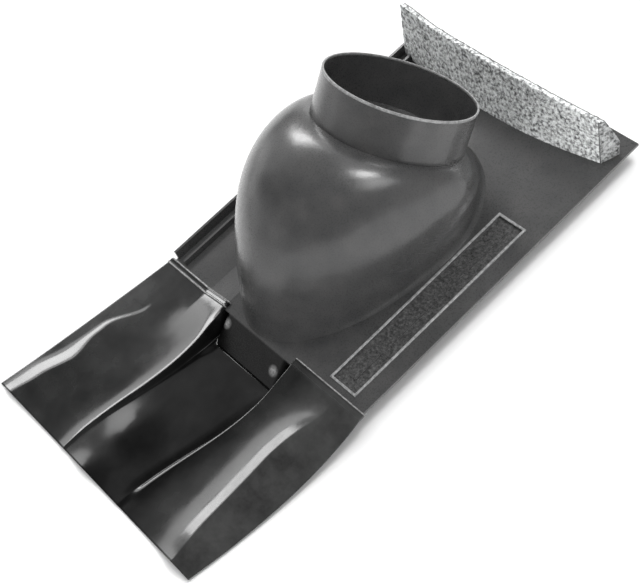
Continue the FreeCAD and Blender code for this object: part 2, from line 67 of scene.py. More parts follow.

# Apron sizes in millimetres, with edges, folds and the right wall given at the tile and at the front.
# Across it, the sheet rests on a softer ramp than the tile's, turns dusty on the right and has painted black
# shade between
REACH = 239.0
GAUGE = 1.6
LEFT_EDGE = (-167.0, -214.0)
RIGHT_EDGE = (169.0, 148.0)
LEFT_FOLD = (-54.0, -82.0)
RIGHT_FOLD = (62.0, 29.0)
LEFT_WALL, RIGHT_WALL = 4.0, (5.0, 7.0)
SOFT_RAMP = (-120.0, -54.0)
DUSTY, CHANNEL_SHADE = (77.5, 117.5), (-60.5, 52.5)

# Hem: thickness over the sheet's, depth, front step, rounding of its rear edge, beads, the stretch across
# where the front bead starts, where highlight lines are painted on it, and the rows of the mesh behind its
# end
HEM_EXTRA, HEM_DEPTH, HEM_STEP = 1.6, 9.0, 1.2
HEM_ROUNDING = 1.6
HEM_BEAD, HEM_BEAD_WIDTH = 0.7, 0.8
REAR_BEAD, FRONT_BEAD = 2.6, 7.8
FRONT_BEAD_START = (-50.0, -58.0)
REAR_HIGHLIGHT, FRONT_HIGHLIGHT = (-1.8, -0.1), (-8.5, -7.3)
HEM_ROWS = (0.0, 0.06, 0.25, 0.6, 1.1, 1.6, 1.9, 2.2, 2.6, 3.0, 3.4, 4.2,
            5.6, 6.6, 7.0, 7.4, 7.8, 8.2, 8.6, 9.0, 9.6, 10.6)
HEM_END = 12.0

# Rolls: a first size, and then how much it grows by between two shares of the apron's reach. The left one
# has a start and a width, and the right one a crest with an even face before it and a rounded back behind it
LEFT_ROLL_START = (6.0, [(9.0, 0.85, 0.65), (19.0, 0.47, 0.27)])
LEFT_ROLL_WIDTH = (4.0, [(5.0, 0.36, 0.51), (13.0, 0.52, 0.69), (-6.0, 0.85, 1.0)])
LEFT_ROLL_SLOPE, LEFT_ROLL_SOFT, LEFT_ROLL_FADE = 0.3, 0.07, 60.0
RIGHT_ROLL_CREST = (119.5, [(12.0, 0.42, 0.08), (3.0, 0.75, 1.0)])
RIGHT_ROLL_HEIGHT, RIGHT_ROLL_FACE, RIGHT_ROLL_EVEN, RIGHT_ROLL_BACK = 12.8, 33.0, 13.0, 24.0

# Lips beside the folds, as widths before and behind their crests, and the stretch where the right one ends
LIP_HEIGHT, RIGHT_LIP_SHARE = 3.4, 0.5
LEFT_LIP, RIGHT_LIP = (7.0, 9.0), (8.0, 12.0)
RIGHT_FOLD_END = (0.84, 0.96)

# Pleats as height, distance from the right edge and width
PLEATS = [(1.3, 17.0, 5.0), (1.0, 6.0, 4.0)]

# Channel's floor, with its mounds as height, place across, place along and width
FLOOR_RISE, GROOVE = 1.7, 5.0
MOUNDS = [(4.8, -35.0, -171.0, 26.0), (4.4, -40.0, -240.0, 19.0)]

# Foam sizes in millimetres: where its foot and head stand in the middle, how far they bow back at the ends,
# its depth at the foot, top and heel, and how its two ends lean and slant
FOAM_HEIGHT, FOAM_LENGTH, FOAM_MIDDLE = 65.0, 310.5, -5.25
FOAM_FOOT, FOAM_HEAD = 358.4, 385.3
FOAM_FOOT_BOW, FOAM_HEAD_BOW = 18.3, 3.5
FOAM_BASE, FOAM_TOP, FOAM_BEVEL, FOAM_HEEL, FOAM_BELLY = 20.0, 6.5, 2.0, 22.0, 21.5
FOAM_LEFT_TILT, FOAM_LEFT_SLANT, FOAM_RIGHT_SLANT = 0.17, 0.1, 0.4
FOAM_CORNER_RISE = 7.0

# Steps of the foam's mesh along its length and along each side of its section, front foot first
FOAM_RINGS = 230
FOAM_STEPS = (6, 44, 5, 30, 14, 6, 14)

# Softness of an edge between two colours, in metres
EDGE_SOFT = 0.0003

# Patches of the studio's light: azimuth, elevation, inner and outer angle in degrees, and level
WORLD_LEVEL = 0.09
WORLD_PATCHES = [(-82, 30, 10, 31, 0.65), (-70, 46, 18, 38, 0.12), (-98, 2, 8, 24, 1.0),
                 (-156, 0, 10, 42, 0.55), (-125, 2, 8, 24, 0.6), (-32, 20, 5, 28, 0.85),
                 (-12, 50, 4, 20, 1.1), (66, 6, 15, 38, 0.3), (56, 52, 3, 18, 5.0)]

# Middle of what the lamps face, in metres, and the lamps' distances from it
AIM = Vector((0.02, 0.0, 0.08))
SOFTBOX_DISTANCE, FILL_DISTANCE = 2.2, 2.4

# Camera's place in metres, its turns about X, Y and Z in degrees, and its lens in millimetres
CAMERA_PLACE = (0.90516, -0.33411, 1.22788)
CAMERA_TURNS = (34.255, 16.135, 47.72)
LENS = 78.75


def ease(value):
    """Smooth step from nought to one."""
    value = min(max(value, 0.0), 1.0)
    return value * value * (3 - 2 * value)


def eased(value, start, end):
    """Smooth share of the way from a start to an end."""
    return ease((value - start) / (end - start))


def stepped(run, profile):
    """Size that changes between given shares of the apron's reach."""
    base, changes = profile
    return base + sum(amount * eased(run, start, end) for amount, start, end in changes)


def bump(distance, width):
    """Rounded swell of unit height."""
    return math.exp(-(distance / width) ** 2)


def mix(pair, share):
    """Value between two ends."""
    return pair[0] + (pair[1] - pair[0]) * share


def row_point(x, y, z):
    """Point of the part's frame in metres from the tile's frame in millimetres."""
    return (Vector((x, y, z)) + SHIFT) * MM


def part_x(x):
    """Place across the part in metres from the tile's own in millimetres."""
    return (x + SHIFT.x) * MM


def part_y(y):
    """Place along the part in metres from the tile's own in millimetres."""
    return (y + SHIFT.y) * MM


def tile_top(x):
    """Level of the tile's top across its width."""
    share = (x - RAMP_FOOT) / (RAMP_HEAD - RAMP_FOOT)
    return TROUGH + min(max(share, 0.0), 1.0) * (DECK - TROUGH)


def add_mesh(name, points, faces, material):
    """Smooth mesh object that rides on the part."""
    mesh = bpy.data.meshes.new(name)
    mesh.from_pydata([tuple(point) for point in points], [], faces)
    mesh.validate()
    mesh.shade_smooth()
    piece = bpy.data.objects.new(name, mesh)
    bpy.context.scene.collection.objects.link(piece)
    mesh.materials.append(material)
    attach(piece, "root")
    return piece


def quad(row, next_row, size, index, next_index):
    """Face between two rows of so many points each."""
    start, next_start = row * size, next_row * size
    return [start + index, start + next_index, next_start + next_index, next_start + index]


def new_material(name, color, roughness):
    """Material with its main shader's own colour and roughness set."""
    material = bpy.data.materials.new(name)
    material.use_nodes = True
    shader = material.node_tree.nodes["Principled BSDF"]
    shader.inputs["Base Color"].default_value = (*color, 1.0)
    shader.inputs["Roughness"].default_value = roughness
    return material, material.node_tree, shader


def texture_space(tree):
    """Object coordinates, the same for every piece because each stands in the part's frame."""
    return tree.nodes.new("ShaderNodeTexCoord").outputs["Object"]


def axes_node(tree, space):
    """The three coordinates of a place."""
    node = tree.nodes.new("ShaderNodeSeparateXYZ")
    tree.links.new(space, node.inputs["Vector"])
    return node.outputs["X"], node.outputs["Y"], node.outputs["Z"]


def noise_node(tree, space, scale, detail=2.0, roughness=0.5):
    """Noise at a scale of so many cells a metre."""
    node = tree.nodes.new("ShaderNodeTexNoise")
    node.inputs["Scale"].default_value = scale
    node.inputs["Detail"].default_value = detail
    node.inputs["Roughness"].default_value = roughness
    tree.links.new(space, node.inputs["Vector"])
    return node.outputs["Fac"]


def ramp_node(tree, value, stops):
    """Colour ramp from (place, colour) pairs."""
    node = tree.nodes.new("ShaderNodeValToRGB")
    elements = node.color_ramp.elements
    elements[0].position, elements[0].color = stops[0][0], (*stops[0][1], 1.0)
    elements[1].position, elements[1].color = stops[-1][0], (*stops[-1][1], 1.0)
    for place, color in stops[1:-1]:
        elements.new(place).color = (*color, 1.0)
    tree.links.new(value, node.inputs["Fac"])
    return node.outputs["Color"]


def grey_ramp(tree, value, stops):
    """Ramp of plain greys from (place, level) pairs."""
    return ramp_node(tree, value, [(place, (level, level, level)) for place, level in stops])


def range_node(tree, value, low, high, start=0.0, end=1.0):
    """Value mapped from one range to another."""
    node = tree.nodes.new("ShaderNodeMapRange")
    node.inputs["From Min"].default_value = start
    node.inputs["From Max"].default_value = end
    node.inputs["To Min"].default_value = low
    node.inputs["To Max"].default_value = high
    tree.links.new(value, node.inputs["Value"])
    return node.outputs["Result"]


def bump_node(tree, height, strength, distance, below=None):
    """Bump from a height in metres, on top of another one."""
    node = tree.nodes.new("ShaderNodeBump")
    node.inputs["Strength"].default_value = strength
    node.inputs["Distance"].default_value = distance
    tree.links.new(height, node.inputs["Height"])
    if below is not None:
        tree.links.new(below, node.inputs["Normal"])
    return node.outputs["Normal"]


def moulded_material():
    """Black moulding with a fine spark grain, faint flow mottling and a clear glossy skin."""
    material, tree, shader = new_material("moulded_plastic", (0.03, 0.03, 0.031), 0.33)
    space = texture_space(tree)
    mottle = noise_node(tree, space, 38.0, 4.0, 0.6)
    grain = noise_node(tree, space, 620.0, 3.0, 0.65)
    color = ramp_node(tree, mottle, [(0.3, (0.035, 0.0355, 0.036)), (0.55, (0.046, 0.046, 0.046)),
                                     (0.75, (0.057, 0.056, 0.0555))])
    nose = nose_mask(tree, space)
    # Base colour carries painted shade on the nose and two painted highlights on it
    tree.links.new(shaded_places(tree, space, color, nose), shader.inputs["Base Color"])
    tree.links.new(range_node(tree, nose, 0.65, 0.02), shader.inputs["Coat Weight"])
    tree.links.new(range_node(tree, grain, 0.22, 0.38, 0.3, 0.7), shader.inputs["Roughness"])
    waves = bump_node(tree, noise_node(tree, space, 45.0, 2.0), 0.22, 0.0008)
    tree.links.new(bump_node(tree, grain, 0.3, 0.00016, waves), shader.inputs["Normal"])
    shader.inputs["Specular IOR Level"].default_value = 0.35
    shader.inputs["IOR"].default_value = 1.5
    shader.inputs["Coat Roughness"].default_value = 0.22
    tree.links.new(bump_node(tree, grain, 0.16, 0.0001, waves), shader.inputs["Coat Normal"])
    return material


def inside_range(tree, value, low, high, soft):
    """One between two values of a coordinate and nought beyond them, softened at both."""
    rise = range_node(tree, value, 0.0, 1.0, low - soft, low + soft)
    fall = range_node(tree, value, 1.0, 0.0, high - soft, high + soft)
    return product(tree, rise, fall)


def product(tree, first, second):
    """Product of two values."""
    node = tree.nodes.new("ShaderNodeMath")
    node.operation = "MULTIPLY"
    tree.links.new(first, node.inputs[0])
    tree.links.new(second, node.inputs[1])
    return node.outputs["Value"]


def blend_colors(tree, share, first, second):
    """Colour between two colours by a share."""
    node = tree.nodes.new("ShaderNodeMix")
    node.data_type = "RGBA"
    tree.links.new(share, node.inputs["Factor"])
    tree.links.new(first, node.inputs["A"])
    tree.links.new(second, node.inputs["B"])
    return node.outputs["Result"]


def nose_mask(tree, space):
    """One on the sloping nose and nought elsewhere."""
    x, y = axes_node(tree, space)[:2]
    edge = part_y(-FRONT_MARGIN)
    front = range_node(tree, y, 1.0, 0.0, edge - 0.001, edge + 0.001)
    across = inside_range(tree, x, part_x(NOSE[0] - 1.0), part_x(NOSE[1] + 0.5), 0.0005)
    return product(tree, front, across)


def shaded_places(tree, space, color, nose):
    """The moulding's colour with painted shade on the nose, two painted highlights on it and a dark speckled
    recess floor.
    """
    x, y, z = axes_node(tree, space)
    left, right, front, back = RECESS
    across = inside_range(tree, x, part_x(left), part_x(right), EDGE_SOFT)
    along = inside_range(tree, y, part_y(front), part_y(back), EDGE_SOFT)
    low = range_node(tree, z, 1.0, 0.0, (DECK - 1.5) * MM, (DECK - 0.2) * MM)
    specks = grey_ramp(tree, noise_node(tree, space, 340.0, 3.0, 0.7),
                       [(0.36, 0.024), (0.52, 0.052), (0.68, 0.1)])
    color = blend_colors(tree, product(tree, product(tree, across, along), low), color, specks)
    # Painted shade: the nose is coloured near black where shade falls on it
    shade_black = grey_ramp(tree, noise_node(tree, space, 120.0, 2.0), [(0.3, 0.002), (0.7, 0.004)])
    color = blend_colors(tree, nose, color, shade_black)
    # Painted highlights: two light spots near the nose's top corners
    pale_highlight_and_wear = grey_ramp(tree, noise_node(tree, space, 400.0, 2.0), [(0.3, 0.12), (0.7, 0.3)])
    for place in NOSE_HIGHLIGHTS:
        spot = soft_spot(tree, space, row_point(*place), HIGHLIGHT_RADIUS * MM)
        color = blend_colors(tree, spot, color, pale_highlight_and_wear)
    return color


def soft_spot(tree, space, place, radius):
    """One at a place and nought at a radius from it."""
    node = tree.nodes.new("ShaderNodeVectorMath")
    node.operation = "DISTANCE"
    node.inputs[1].default_value = place
    tree.links.new(space, node.inputs[0])
    return range_node(tree, node.outputs["Value"], 1.0, 0.0, radius * 0.25, radius)


def apron_material():
    """Smooth black rubbery sheet, glossy, with slight waves and a faint bloom."""
    material, tree, shader = new_material("soft_apron", (0.007, 0.0072, 0.0073), 0.15)
    space = texture_space(tree)
    bloom = noise_node(tree, space, 18.0, 4.0, 0.6)
    color = ramp_node(tree, bloom, [(0.3, (0.006, 0.0062, 0.0062)), (0.7, (0.018, 0.0182, 0.018))])
    # Dust on the right flap, painted black shade in the channel and painted highlight lines along the hem
    tree.links.new(hem_highlights(tree, space, dust_and_channel_shade(tree, space, color)), shader.inputs["Base Color"])
    tree.links.new(range_node(tree, bloom, 0.1, 0.22, 0.3, 0.7), shader.inputs["Roughness"])
    waves = bump_node(tree, noise_node(tree, space, 26.0, 2.0), 0.25, 0.0012)
    tree.links.new(bump_node(tree, noise_node(tree, space, 1100.0, 2.0), 0.14, 0.00008, waves),
                   shader.inputs["Normal"])
    shader.inputs["IOR"].default_value = 1.46
    return material


def dust_and_channel_shade(tree, space, color):
    """The sheet's colour, with painted black shade in the channel and dusty on the right flap."""
    x = axes_node(tree, space)[0]
    dust = ramp_node(tree, noise_node(tree, space, 30.0, 5.0, 0.65),
                     [(0.3, (0.018, 0.018, 0.018)), (0.7, (0.045, 0.0455, 0.045))])
    # Painted shade: the channel between the folds is coloured near black
    shade_black = grey_ramp(tree, noise_node(tree, space, 90.0, 2.0), [(0.3, 0.002), (0.7, 0.004)])
    dusty = range_node(tree, x, 0.0, 1.0, part_x(DUSTY[0]), part_x(DUSTY[1]))
    channel_shade = inside_range(tree, x, part_x(CHANNEL_SHADE[0]), part_x(CHANNEL_SHADE[1]), 0.012)
    return blend_colors(tree, channel_shade, blend_colors(tree, dusty, color, dust), shade_black)


def hem_highlights(tree, space, color):
    """The sheet's colour with painted highlight lines along the hem's rear edge, and along its front edge on
    the left.
    """
    x, y = axes_node(tree, space)[:2]
    # Painted highlight: light grey lines along the hem's edges
    wear_and_highlight = grey_ramp(tree, noise_node(tree, space, 300.0, 3.0, 0.7), [(0.3, 0.1), (0.7, 0.4)])
    rear = inside_range(tree, y, part_y(REAR_HIGHLIGHT[0]), part_y(REAR_HIGHLIGHT[1]), EDGE_SOFT)
    front = inside_range(tree, y, part_y(FRONT_HIGHLIGHT[0]), part_y(FRONT_HIGHLIGHT[1]), EDGE_SOFT)
    fold = part_x(LEFT_FOLD[0])
    left = range_node(tree, x, 1.0, 0.0, fold - 0.0005, fold + 0.0015)
    return blend_colors(tree, product(tree, front, left), blend_colors(tree, rear, color, wear_and_highlight), wear_and_highlight)


def edge_material():
    """Rubbed edge of the moulding, a little lighter from wear and from a painted highlight, and finely
    scratched.
    """
    material, tree, shader = new_material("worn_edge_highlight", (0.07, 0.071, 0.072), 0.36)
    space = texture_space(tree)
    wear_and_highlight = noise_node(tree, space, 260.0, 4.0, 0.7)
    # Lighter grey: wear, with a painted highlight on top
    tree.links.new(ramp_node(tree, wear_and_highlight, [(0.32, (0.12, 0.121, 0.121)), (0.68, (0.34, 0.342, 0.343))]),
                   shader.inputs["Base Color"])
    tree.links.new(range_node(tree, wear_and_highlight, 0.28, 0.5, 0.3, 0.7), shader.inputs["Roughness"])
    scratches = noise_node(tree, space, 900.0, 2.0)
    tree.links.new(bump_node(tree, scratches, 0.3, 0.0001), shader.inputs["Normal"])
    return material


def foam_material(name, share):
    """Open-cell foam: light cell walls round dark pores, dry and matt, all scaled by a share."""
    material, tree, shader = new_material(name, (0.3, 0.31, 0.31), 0.95)
    space = texture_space(tree)
    cells = tree.nodes.new("ShaderNodeTexVoronoi")
    cells.inputs["Scale"].default_value = 360.0
    tree.links.new(space, cells.inputs["Vector"])
    clumps = noise_node(tree, space, 250.0, 3.0, 0.62)
    stops = [(0.35, 0.11), (0.45, 0.43), (0.53, 0.68), (0.64, 0.95)]
    color = ramp_node(tree, clumps, [(place, (0.98 * level * share, level * share, level * share))
                                     for place, level in stops])
    tree.links.new(color, shader.inputs["Base Color"])
    pores = bump_node(tree, cells.outputs["Distance"], 0.7, 0.0006)
    tree.links.new(bump_node(tree, clumps, 0.8, 0.0007, pores), shader.inputs["Normal"])
    shader.inputs["Specular IOR Level"].default_value = 0.2
    return material


def shade_material():
    """Painted shade along the foam's cut edges."""
    material, tree, shader = new_material("foam_edge_shade", (0.06, 0.062, 0.062), 0.9)
    space = texture_space(tree)
    color = ramp_node(tree, noise_node(tree, space, 300.0, 3.0, 0.6),
                      [(0.35, (0.03, 0.031, 0.031)), (0.7, (0.16, 0.163, 0.163))])
    tree.links.new(color, shader.inputs["Base Color"])
    return material


def apron_edges(run):
    """Left edge, left fold, right fold and right edge of the apron at a share of its reach."""
    wander = eased(run, 0.2, 1.0)
    return (mix(LEFT_EDGE, run), mix(LEFT_FOLD, wander), mix(RIGHT_FOLD, wander), mix(RIGHT_EDGE, run ** 2))


def ridge(distance, rise, drop):
    """Swell of unit height that climbs ever faster to its crest and drops off quickly behind it."""
    if distance < 0:
        return math.exp(distance / rise)
    return bump(distance, drop)


def soft_step(value):
    """Nought below nought and the value itself above it, rounded between."""
    return value if value > 30.0 else math.log1p(math.exp(value))


def ramp(distance, width, soft):
    """Even slope from nought to one over a width, rounded at both ends, that fades slowly behind it."""
    share = distance / width
    rise = soft * (soft_step(share / soft) - soft_step((share - 1) / soft))
    return rise * math.exp(-max(distance - width, 0.0) / LEFT_ROLL_FADE)


def rest_level(x, fall):
    """Level of the sheet where it leaves the tile, falling to the tile's underside at the front."""
    smooth = TROUGH + (DECK - TROUGH) * eased(x, *SOFT_RAMP)
    step = tile_top(x) + (smooth - tile_top(x)) * eased(fall, 0.0, 0.22) - TROUGH
    return (TROUGH + SEAT_GAP) * (1 - fall) ** 1.5 + step * (1 - fall) ** 5


def left_roll_level(x, left, run, fall):
    """Broad even slope near the left edge that narrows to a thin tail towards the tile."""
    start = left + stepped(run, LEFT_ROLL_START)
    width = stepped(run, LEFT_ROLL_WIDTH)
    return LEFT_ROLL_SLOPE * width * ramp(x - start, width, LEFT_ROLL_SOFT) * eased(fall, 0.18, 0.34)


def right_roll_level(x, run, fall):
    """Long roll with a wide even left side and a crisp crest."""
    distance = x - stepped(run, RIGHT_ROLL_CREST)
    height = RIGHT_ROLL_HEIGHT * eased(fall, -0.02, 0.26) * (1 - 0.25 * eased(run, 0.85, 1.0))
    tail = RIGHT_ROLL_FACE - RIGHT_ROLL_EVEN
    if distance < -RIGHT_ROLL_EVEN:
        return height * tail / RIGHT_ROLL_FACE * math.exp((distance + RIGHT_ROLL_EVEN) / tail)
    if distance < 0:
        return height * (1 + distance / RIGHT_ROLL_FACE)
    return height * bump(distance, RIGHT_ROLL_BACK)


def flap_level(x, run):
    """Level of the apron's underside beside the channel, with its long rolls, fold lips and pleats."""
    left, fold_left, fold_right, right = apron_edges(run)
    fall = max(run * REACH - FRONT_MARGIN, 0.0) / (REACH - FRONT_MARGIN)
    pleats = sum(height * bump(right - x - inset, width) for height, inset, width in PLEATS)
    pleats *= eased(fall, 0.0, 0.25) * (1 - fall)
    left_lip = ridge(x - fold_left, *LEFT_LIP)
    right_lip = RIGHT_LIP_SHARE * right_fold_share(run) * ridge(fold_right - x, *RIGHT_LIP)
    lips = LIP_HEIGHT * eased(fall, 0.0, 0.1) * (1 - 0.35 * eased(run, 0.85, 1.0)) * (left_lip + right_lip)
    rolls = left_roll_level(x, left, run, fall) + right_roll_level(x, run, fall)
    return rest_level(x, fall) + rolls + pleats + lips


def right_fold_share(run):
    """How much of the right fold is left, as it dies out before the front edge."""
    return 1 - eased(run, *RIGHT_FOLD_END)


def right_wall(run):
    """Width of the channel's right wall, steep beside the nose and wider in front of it."""
    return mix(RIGHT_WALL, eased(run, 0.18, 0.33))


def channel_level(x, y, run):
    """Channel's floor with its low mounds and the groove beside its right wall."""
    mounds = sum(height * bump(math.hypot(x - across, y - along), width)
                 for height, across, along, width in MOUNDS)
    foot = apron_edges(run)[2] - right_wall(run)
    groove = bump(x - foot, GROOVE) * right_fold_share(run)
    return eased(run, 0.25, 0.4) * mounds + FLOOR_RISE * eased(run, 0.18, 0.28) * (1 - groove)


def apron_level(x, run):
    """Level of the apron's underside anywhere: flaps, steep fold walls and the channel's floor."""
    fold_left, fold_right = apron_edges(run)[1:3]
    into_left = ease((x - fold_left) / LEFT_WALL)
    into_right = min(max((fold_right - x) / right_wall(run), 0.0), 1.0) ** 2
    inside = min(into_left, into_right)
    return flap_level(x, run) * (1 - inside) + channel_level(x, -run * REACH, run) * inside


def hem_swell(x, run):
    """Extra thickness of the hem, with a rounded rear edge, a rear bead and a front bead on the left."""
    y = run * REACH
    near = max(1.0 - y / HEM_ROUNDING, 0.0)
    rounding = HEM_ROUNDING * (1 - math.sqrt(max(1 - near * near, 0.0)))
    rear_bead = bump(y - REAR_BEAD, HEM_BEAD_WIDTH)
    front_bead = bump(y - FRONT_BEAD, HEM_BEAD_WIDTH) * eased(x, *FRONT_BEAD_START)
    extra = HEM_EXTRA * eased(y, HEM_DEPTH, HEM_DEPTH - HEM_STEP)
    return extra - rounding + HEM_BEAD * (rear_bead + front_bead)


def apron_columns(run, flap=104, wall=18, floor=56):
    """Places across the apron, close together at the folds."""
    left, fold_left, fold_right, right = apron_edges(run)
    inner_left, inner_right = fold_left + LEFT_WALL + 2, fold_right - right_wall(run) - 1
    stretches = [(left, fold_left - 2, flap), (fold_left - 2, inner_left, wall),
                 (inner_left, inner_right, floor), (inner_right, fold_right + 2, wall),
                 (fold_right + 2, right, flap)]
    columns = [left]
    for start, end, count in stretches:
        columns += [start + (end - start) * (index + 1) / count for index in range(count)]
    return columns


def apron_rows(count=110):
    """Shares of the apron's reach, close together at the hem."""
    rows = list(HEM_ROWS) + [HEM_END + (REACH - HEM_END) * index / count for index in range(count + 1)]
    return [y / REACH for y in rows]


def quarter_round(across, along, steps):
    """Insets from a square corner to the points of a rounded one."""
    turns = [math.pi / 2 * index / steps for index in range(steps + 1)]
    return [(across * (1 - math.cos(turn)), along * (1 - math.sin(turn))) for turn in turns]


def nose_outline(rear=40.0, steps=6):
    """Corners of the nose's cut-out with its two rounded front corners, a seat gap larger than the nose."""
    left, right = NOSE[0] - SEAT_GAP, NOSE[1] + SEAT_GAP
    front = -FRONT_MARGIN - NOSE_RUN - SEAT_GAP
    insets = quarter_round(NOSE_ROUND, NOSE_ROUND_LONG, steps)
    corners = [(left + across, front + along) for across, along in insets]
    corners += [(right - across, front + along) for across, along in reversed(insets)]
    return [(left, rear)] + corners + [(right, rear)]


def cut_nose(piece, bottom=-20.0, top=60.0):
    """Cut the nose's place out of the apron with a block of its rounded outline."""
    outline = nose_outline()
    count = len(outline)
    low = [row_point(x, y, bottom) for x, y in outline]
    high = [row_point(x, y, top) for x, y in outline]
    sides = [[index, (index + 1) % count, (index + 1) % count + count, index + count]
             for index in range(count)]
    mesh = bpy.data.meshes.new("nose_block")
    mesh.from_pydata([tuple(point) for point in low + high], [],
                     [list(range(count))[::-1], list(range(count, 2 * count))] + sides)
    block = bpy.data.objects.new("nose_block", mesh)
    bpy.context.scene.collection.objects.link(block)
    modifier = piece.modifiers.new("nose_cut", "BOOLEAN")
    modifier.object, modifier.operation, modifier.solver = block, "DIFFERENCE", "EXACT"
    depsgraph = bpy.context.evaluated_depsgraph_get()
    done = bpy.data.meshes.new_from_object(piece.evaluated_get(depsgraph))
    piece.modifiers.clear()
    piece.data = done
    bpy.data.objects.remove(block)


def make_apron(material):
    """Closed sheet of the apron: top, underside and edges, with the nose's place left open."""
    rows = apron_rows()
    top, under = [], []
    for run in rows:
        for x in apron_columns(run):
            level = max(apron_level(x, run), 0.0)
            y = -run * REACH
            top.append(row_point(x, y, level + GAUGE + hem_swell(x, run)))
            under.append(row_point(x, y, level))
    width = len(top) // len(rows)
    faces = []
    for row in range(len(rows) - 1):
        for column in range(width - 1):
            faces.append(quad(row, row + 1, width, column, column + 1))
    piece = close_sheet("apron_sheet", top, under, faces, material)
    cut_nose(piece)
    return piece


def close_sheet(name, top, under, faces, material):
    """Sheet with a top and an underside joined round every open edge."""
    edges = {}
    for face in faces:
        for index in range(4):
            edge = (face[index], face[(index + 1) % 4])
            edges[edge] = edges.get(edge, 0) + 1
    rim = [edge for edge in edges if (edge[1], edge[0]) not in edges]
    count = len(top)
    every = [face[::-1] for face in faces]
    every += [[corner + count for corner in face] for face in faces]
    every += [[first, second, second + count, first + count] for first, second in rim]
    piece = add_mesh(name, top + under, every, material)
    tidy_mesh(piece)
    return piece


def tidy_mesh(piece):
    """Drop loose points and turn every face outwards."""
    mesh = bmesh.new()
    mesh.from_mesh(piece.data)
    loose = [vertex for vertex in mesh.verts if not vertex.link_faces]
    bmesh.ops.delete(mesh, geom=loose, context="VERTS")
    bmesh.ops.recalc_face_normals(mesh, faces=mesh.faces)
    mesh.to_mesh(piece.data)
    mesh.free()


def foam_floor(x):
    """Level that the foam stands on, over the trough, the lock rib, the ramp and the deck."""
    if LOCK_RIB[0] - 2 < x < LOCK_RIB[1] + 2:
        return LOCK_RIB_TOP + SEAT_GAP
    return tile_top(x) + SEAT_GAP


def foam_section(share):
    """Corners of the foam's section at a share of its half-length, front foot first."""
    foot = FOAM_FOOT + FOAM_FOOT_BOW * share ** 2
    head = FOAM_HEAD + FOAM_HEAD_BOW * share ** 2
    rise = FOAM_HEEL / FOAM_HEIGHT
    heel = foot * (1 - rise) + head * rise + FOAM_BELLY - FOAM_TOP * rise
    top = DECK + FOAM_HEIGHT
    return [(foot, TROUGH), (foot, DECK), (head - FOAM_TOP, top), (head, top - FOAM_BEVEL),
            (heel, DECK + FOAM_HEEL), (foot + FOAM_BASE, DECK), (foot + FOAM_BASE, TROUGH)]


def foam_place(share, y, z):
    """Point of the foam, with its ends leaned and slanted, a corner drawn up and its foot on the tile."""
    x = FOAM_MIDDLE + share * FOAM_LENGTH / 2
    back = y - FOAM_FOOT - FOAM_FOOT_BOW
    left = eased(share, -0.4, -1.0) * (FOAM_LEFT_TILT * (z - DECK) + FOAM_LEFT_SLANT * back)
    right = eased(share, 0.4, 1.0) * FOAM_RIGHT_SLANT * back
    x += left + right
    rise = FOAM_CORNER_RISE * eased(share, -0.55, -1.0) * ease((z - DECK) / FOAM_HEIGHT)
    return x, y, max(z, foam_floor(x)) + rise


def foam_ring(share):
    """Points round the foam's section."""
    corners = foam_section(share)
    ring = []
    for index, count in enumerate(FOAM_STEPS):
        (y0, z0), (y1, z1) = corners[index], corners[(index + 1) % len(corners)]
        for part in range(count):
            ring.append(foam_place(share, y0 + (y1 - y0) * part / count, z0 + (z1 - z0) * part / count))
    return ring


def foam_cells(point):
    """Depth of the foam's pores at a point in millimetres."""
    coarse = noise.noise(point * 0.38)
    fine = noise.noise(point * 0.8 + Vector((7.0, 3.0, 5.0)))
    return 0.5 * coarse + 0.35 * fine


def make_foam(material, shade, ends):
    """Foam strip with its pores raised in the mesh itself, with painted shade along its cut edges and on its
    ends.
    """
    count = FOAM_RINGS
    rings = [foam_ring(2 * index / count - 1) for index in range(count + 1)]
    size = len(rings[0])
    points = [Vector(point) for ring in rings for point in ring]
    faces = []
    for ring in range(count):
        for index in range(size):
            faces.append(quad(ring, ring + 1, size, index, (index + 1) % size))
    caps = [list(range(size))[::-1], [count * size + index for index in range(size)]]
    places = [row_point(*point) for point in points]
    piece = add_mesh("foam_strip", places, faces + caps, material)
    piece.data.materials.append(shade)
    piece.data.materials.append(ends)
    # Painted shade: the two end faces take a darker copy of the foam
    for face in piece.data.polygons[-2:]:
        face.material_index = 2
    front = range(FOAM_STEPS[0], sum(FOAM_STEPS[:2]))
    rear_edge = sum(FOAM_STEPS[:3])
    # Painted shade on the faces at the top's rear edge and at the right end of the front face
    for index in range(count * size):
        ring, place = divmod(index, size)
        if abs(place - rear_edge) <= 1 or (ring == count - 1 and place in front):
            piece.data.polygons[index].material_index = 1
    fill_caps(piece)
    roughen(piece, foam_cells)
    return piece


def fill_caps(piece):
    """Split the two end faces into triangles."""
    mesh = bmesh.new()
    mesh.from_mesh(piece.data)
    ends = [face for face in mesh.faces if len(face.verts) > 4]
    bmesh.ops.triangulate(mesh, faces=ends)
    bmesh.ops.recalc_face_normals(mesh, faces=mesh.faces)
    mesh.to_mesh(piece.data)
    mesh.free()


def roughen(piece, depth):
    """Move every point along its normal by a depth in millimetres."""
    mesh = bmesh.new()
    mesh.from_mesh(piece.data)
    mesh.normal_update()
    moves = [vertex.normal * depth(vertex.co / MM) * MM for vertex in mesh.verts]
    for vertex, move in zip(mesh.verts, moves):
        vertex.co += move
    mesh.to_mesh(piece.data)
    mesh.free()


def rounded_bar(half_width, low, high, radius, steps=4):
    """Section of a bar with two rounded upper corners, as (across, level) points."""
    insets = quarter_round(radius, radius, steps)
    corners = [(across - half_width, high - drop) for across, drop in insets]
    corners += [(half_width - across, high - drop) for across, drop in reversed(insets)]
    return [(-half_width, low)] + corners + [(half_width, low)]


